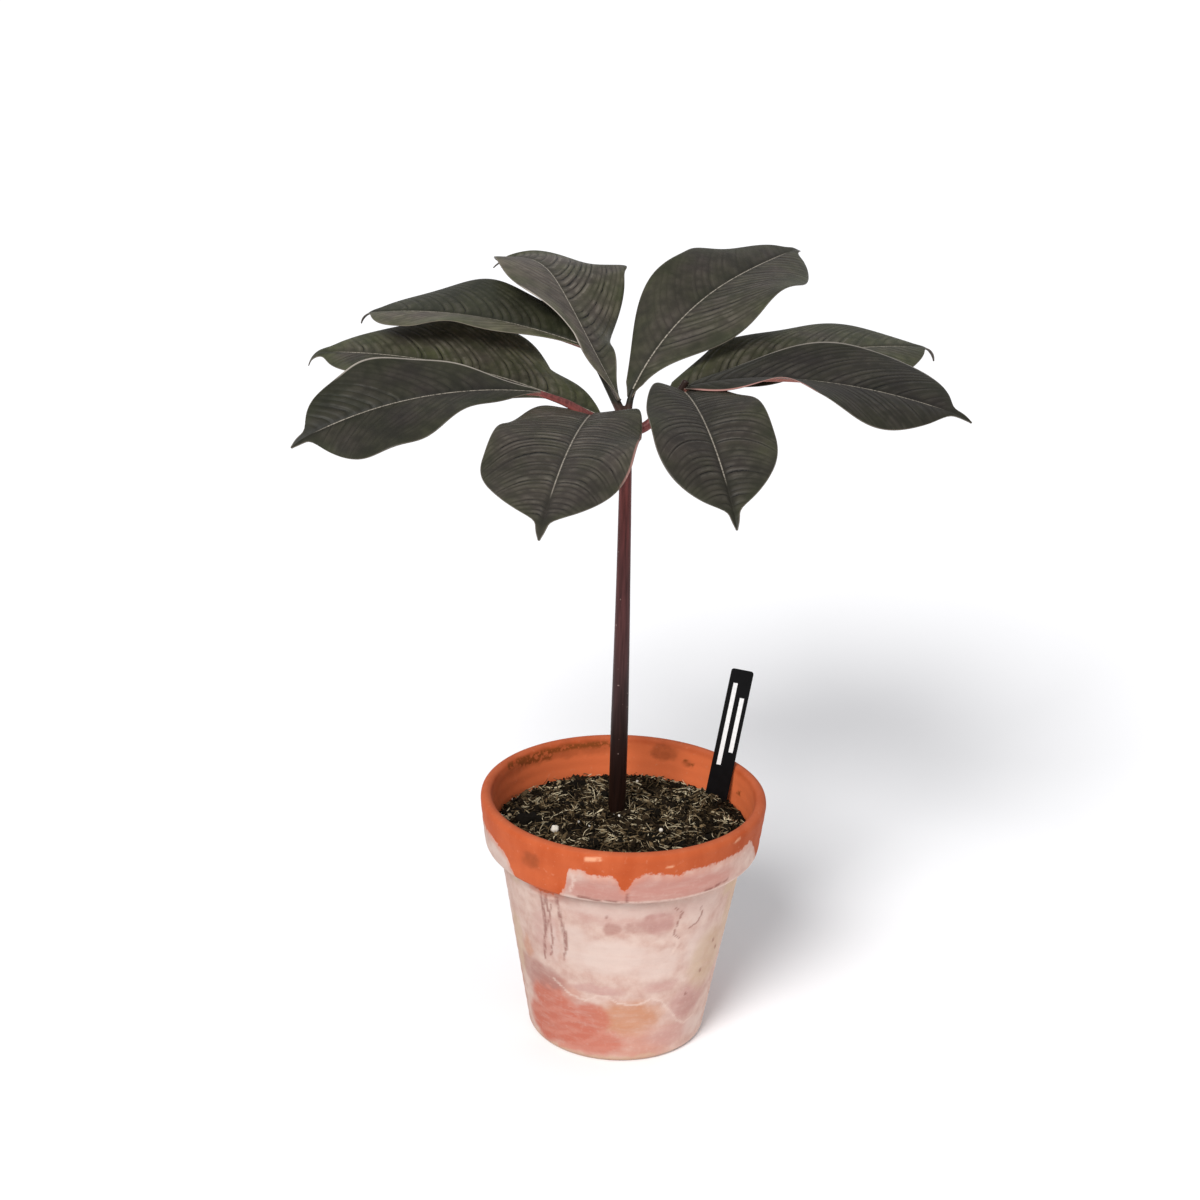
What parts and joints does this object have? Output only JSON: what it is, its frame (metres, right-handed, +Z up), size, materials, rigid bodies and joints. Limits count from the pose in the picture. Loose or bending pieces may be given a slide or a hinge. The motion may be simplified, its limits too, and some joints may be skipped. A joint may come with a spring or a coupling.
{
  "type": "potted amorphophallus atroviridis",
  "caption": "Dark-leaved aroid house plant: one upright stalk carries a spreading crown of wavy drip-tipped leaflets above a lime-stained clay pot of soil with a plain plant label.",
  "frame": {"origin": "middle of the bounding box in plan, on the surface that the pot stands on; the pot's own axis is about 2 mm to +X and 20 mm to -Y of it", "axes": "+Z up the stalk, -Y towards the side that the label faces, +X to the right as seen from that side"},
  "size_m": [0.3358, 0.2694, 0.3963],
  "materials": {
    "terracotta": "unglazed fired clay, orange inside and along the rim, chalky pinkish white lime bloom outside",
    "potting_mix": "loose dark peat with pale fibres and a few white perlite beads",
    "stalk_skin": "smooth, faintly glossy maroon brown",
    "leaflet_blade": "velvety near-black green above with fine sunken veins, pink beneath",
    "label_plastic": "black sheet plastic with two plain white ruled bars"
  },
  "bodies": {
    "root": {"pot": "terracotta", "potting_soil": "potting_mix", "petiole": "stalk_skin", "leaflet_left_end": "leaflet_blade", "leaflet_left_rear": "leaflet_blade", "leaflet_left_front": "leaflet_blade", "leaflet_right_front": "leaflet_blade", "leaflet_right_end": "leaflet_blade", "leaflet_right_rear": "leaflet_blade", "leaflet_back_right": "leaflet_blade", "leaflet_back_left": "leaflet_blade", "leaflet_back_end": "leaflet_blade", "plant_label": "label_plastic"}
  },
  "joints": []
}
